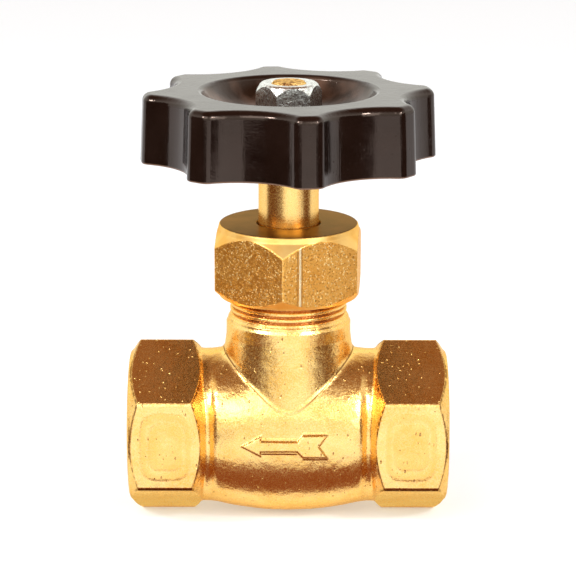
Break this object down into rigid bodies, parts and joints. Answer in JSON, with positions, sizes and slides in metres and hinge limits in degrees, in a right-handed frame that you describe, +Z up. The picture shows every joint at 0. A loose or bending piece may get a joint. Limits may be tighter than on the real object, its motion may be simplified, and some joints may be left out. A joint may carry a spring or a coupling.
{
  "type": "globe valve",
  "caption": "Straight-way brass globe valve with hexagonal female pipe ends, gland nut, plain stem and lobed dark handwheel.",
  "frame": {"origin": "centre of the inlet port's mouth, on the port axis", "axes": "+X out of the inlet along the port axis, so the flow goes towards -X as the arrow shows; +Z up along the stem towards the handwheel; the arrow is on the -Y side"},
  "size_m": [0.0557, 0.051, 0.077],
  "materials": {
    "forged_brass": "hot-forged, shot-blasted and bright-dipped, satin",
    "bar_brass": "drawn hexagon bar, flats grainy, ends turned",
    "stem_brass": "turned, satin",
    "turned_brass": "turned",
    "phenolic": "moulded, glossy",
    "zinc_plated_steel": "zinc-plated, worn",
    "stainless_steel": "turned",
    "graphite_packing": "pressed braided yarn",
    "rubber": "matt",
    "fibre": "pressed fibre"
  },
  "bodies": {
    "valve_body": {"body": "forged_brass", "seat_ring": "turned_brass", "bonnet_gasket": "fibre", "stem_bush": "turned_brass", "packing_washer": "turned_brass", "packing_ring_lower": "graphite_packing", "packing_ring_middle": "graphite_packing", "packing_ring_upper": "graphite_packing", "gland_follower": "turned_brass", "cap_nut": "bar_brass"},
    "disc": {"disc_holder": "turned_brass", "stem_clip": "stainless_steel", "disc_seal": "rubber", "seal_washer": "turned_brass", "seal_screw": "stainless_steel"},
    "stem_and_wheel": {"stem": "stem_brass", "handwheel": "phenolic", "handwheel_insert": "turned_brass", "lock_washer": "zinc_plated_steel", "handwheel_nut": "zinc_plated_steel"}
  },
  "joints": [
    {"name": "stem_lift", "type": "slide", "parent": "valve_body", "child": "disc", "axis": [0, 0, 1], "range_m": [-0.0045, 0]},
    {"name": "wheel_turn", "type": "hinge", "parent": "disc", "child": "stem_and_wheel", "pos_m": [-0.02785, 0, 0], "axis": [0, 0, 1], "range_deg": [-1080, 0]}
  ],
  "couplings": [
    {"joint": "stem_lift", "follows": "wheel_turn", "m_per_rad": 0.00023873}
  ]
}
